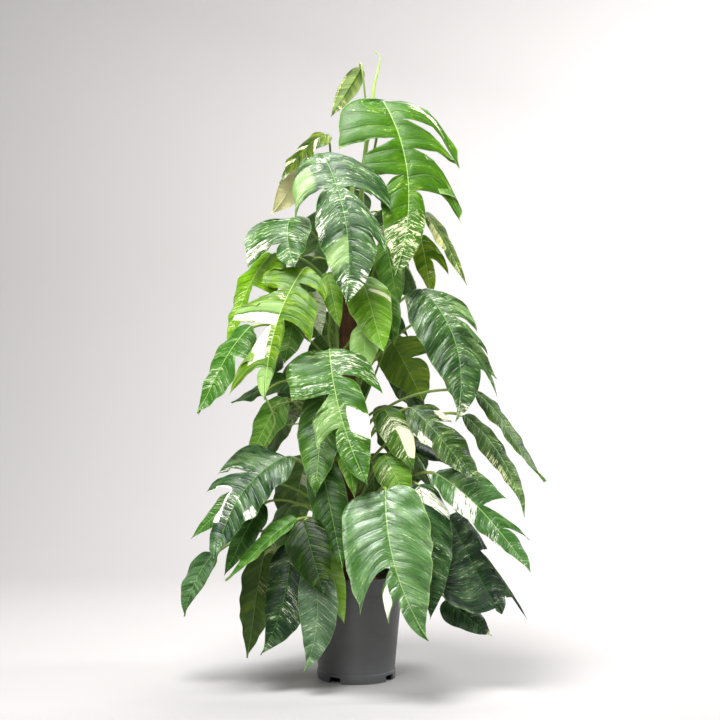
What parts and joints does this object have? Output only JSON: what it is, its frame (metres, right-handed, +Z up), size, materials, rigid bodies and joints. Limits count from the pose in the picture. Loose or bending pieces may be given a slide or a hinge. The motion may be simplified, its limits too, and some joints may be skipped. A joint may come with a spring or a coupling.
{
  "type": "potted variegated epipremnum pinnatum",
  "caption": "Potted climbing aroid with green and cream variegated, partly split leaves on vines that climb a coir pole in a round nursery pot.",
  "frame": {"origin": "centre of the pot's underside, on the ground", "axes": "+Z up along the pole, -Y towards the plant's best side, +X to the right as seen from that side"},
  "size_m": [0.773, 0.5446, 1.3746],
  "materials": {
    "pot": "satin dark grey",
    "potting_mix": "coarse bark and peat",
    "coir": "rough fibre",
    "stem": "smooth green",
    "shoot": "smooth yellow green",
    "leaf": "glossy green with cream marbling"
  },
  "bodies": {
    "root": {"pot": "pot", "potting_mix": "potting_mix", "coir_pole": "coir", "new_shoot": "shoot", "vine_left": "stem", "vine_right": "stem", "vine_back": "stem", "leaf_crown": "leaf", "leaf_top_split": "leaf", "leaf_upper_split": "leaf", "leaf_left_shoulder": "leaf", "leaf_left_tan": "leaf", "leaf_left_marbled": "leaf", "leaf_lime_split": "leaf", "leaf_left_edge": "leaf", "leaf_left_tip": "leaf", "leaf_left_dark": "leaf", "leaf_centre_split": "leaf", "leaf_centre_left": "leaf", "leaf_mid_bright": "leaf", "leaf_mid_grey": "leaf", "leaf_right_strip": "leaf", "leaf_right_big": "leaf", "leaf_right_behind": "leaf", "leaf_right_backlit": "leaf", "leaf_right_mid": "leaf", "leaf_cream": "leaf", "leaf_low_centre": "leaf", "leaf_right_narrow": "leaf", "leaf_right_twisted": "leaf", "leaf_right_dark": "leaf", "leaf_right_low": "leaf", "leaf_front_large": "leaf", "leaf_front_right": "leaf", "leaf_right_bottom": "leaf", "leaf_right_foot": "leaf", "leaf_left_low": "leaf", "leaf_left_far": "leaf", "leaf_left_folded": "leaf", "leaf_front_left": "leaf", "leaf_left_bottom_olive": "leaf", "leaf_left_bottom": "leaf", "leaf_left_bottom_grey": "leaf", "leaf_pot_front": "leaf", "leaf_low_dark": "leaf", "leaf_back_4": "leaf", "leaf_back_9": "leaf", "leaf_back_15": "leaf", "leaf_back_16": "leaf"}
  },
  "joints": []
}
